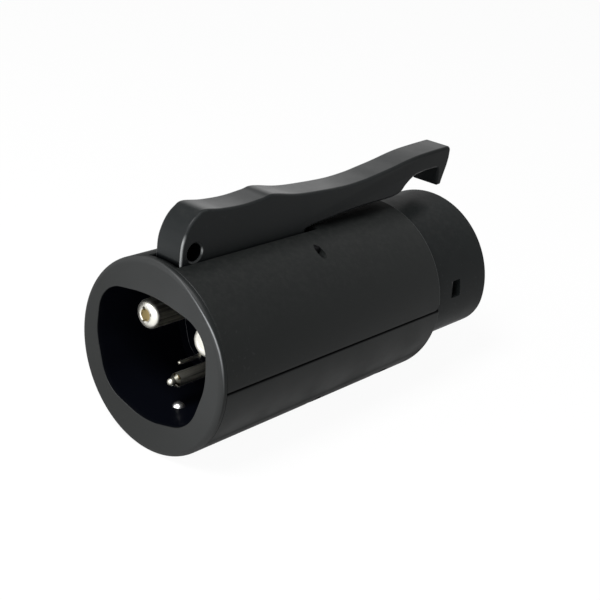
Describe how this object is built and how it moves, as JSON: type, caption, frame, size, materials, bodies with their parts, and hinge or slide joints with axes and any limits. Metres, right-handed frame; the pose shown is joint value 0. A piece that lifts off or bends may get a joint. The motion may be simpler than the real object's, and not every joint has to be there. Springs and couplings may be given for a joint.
{
  "type": "ev charging adapter",
  "caption": "Round charging adapter with a pinned socket at one end, a plug nose at the other, and a sprung latch lever with a padlock hole along its top.",
  "frame": {"origin": "on the nose's axis, at the body's flat front face that the nose stands out of", "axes": "+X out of the nose along its axis, +Z towards the latch lever, +Y to the left as seen looking into the socket"},
  "size_m": [0.1057, 0.0476, 0.0604],
  "materials": {
    "body_plastic": "fine grained charcoal moulding",
    "insert_plastic": "smooth charcoal moulding",
    "lever_plastic": "satin charcoal moulding",
    "plated_brass": "silver plating, turned",
    "bare_copper": "bare copper bar",
    "plug_brass": "bare brass",
    "steel": "zinc plated",
    "ball_steel": "polished bearing ball",
    "seal_rubber": "black rubber",
    "board": "green lacquered board",
    "board_component": "tan component bodies",
    "switch_case": "black switch case",
    "switch_button": "red button",
    "lead_jacket": "orange insulated lead"
  },
  "bodies": {
    "adapter_body": {"upper_shell": "body_plastic", "lower_shell": "body_plastic", "socket_insert": "insert_plastic", "pin_retainer": "insert_plastic", "retainer_screws": "steel", "pin_seals": "seal_rubber", "power_pin_left": "plated_brass", "power_pin_right": "plated_brass", "ground_pin": "plated_brass", "signal_pin_left": "plated_brass", "signal_pin_right": "plated_brass", "nose_shell": "body_plastic", "nose_seal": "seal_rubber", "contact_carrier": "insert_plastic", "power_contact_left": "plated_brass", "power_contact_right": "plated_brass", "ground_contact": "plated_brass", "signal_contact_left": "plated_brass", "signal_contact_right": "plated_brass", "power_busbar_left": "bare_copper", "power_busbar_right": "bare_copper", "ground_busbar": "bare_copper", "signal_lead_left": "lead_jacket", "signal_lead_right": "lead_jacket", "pivot_pin": "steel", "latch_spring": "steel", "latch_switch": "switch_case", "circuit_board": "board", "board_parts": "board_component", "board_screws": "steel", "board_leads": "lead_jacket", "detent_spring": "steel", "detent_plug": "plug_brass", "shell_screws": "steel"},
    "lever": {"latch_lever": "lever_plastic"},
    "plunger": {"switch_plunger": "switch_button"},
    "ball": {"detent_ball": "ball_steel"}
  },
  "joints": [
    {"name": "lever_press", "type": "hinge", "parent": "adapter_body", "child": "lever", "pos_m": [-0.0379, 0, 0.0207], "axis": [0, -1, 0], "range_deg": [0, 4.5], "stiffness_Nm_per_rad": 2, "springref_deg": -2.86, "deforming": ["latch_spring"]},
    {"name": "plunger_slide", "type": "slide", "parent": "adapter_body", "child": "plunger", "axis": [0, 0, -1], "range_m": [0, 0.0007]},
    {"name": "detent_slide", "type": "slide", "parent": "adapter_body", "child": "ball", "axis": [0, 0, -1], "range_m": [0, 0.0009], "stiffness_N_per_m": 2000, "springref_m": -0.0005, "deforming": ["detent_spring"]}
  ],
  "couplings": [
    {"joint": "plunger_slide", "follows": "lever_press", "m_per_rad": 0.0076}
  ]
}
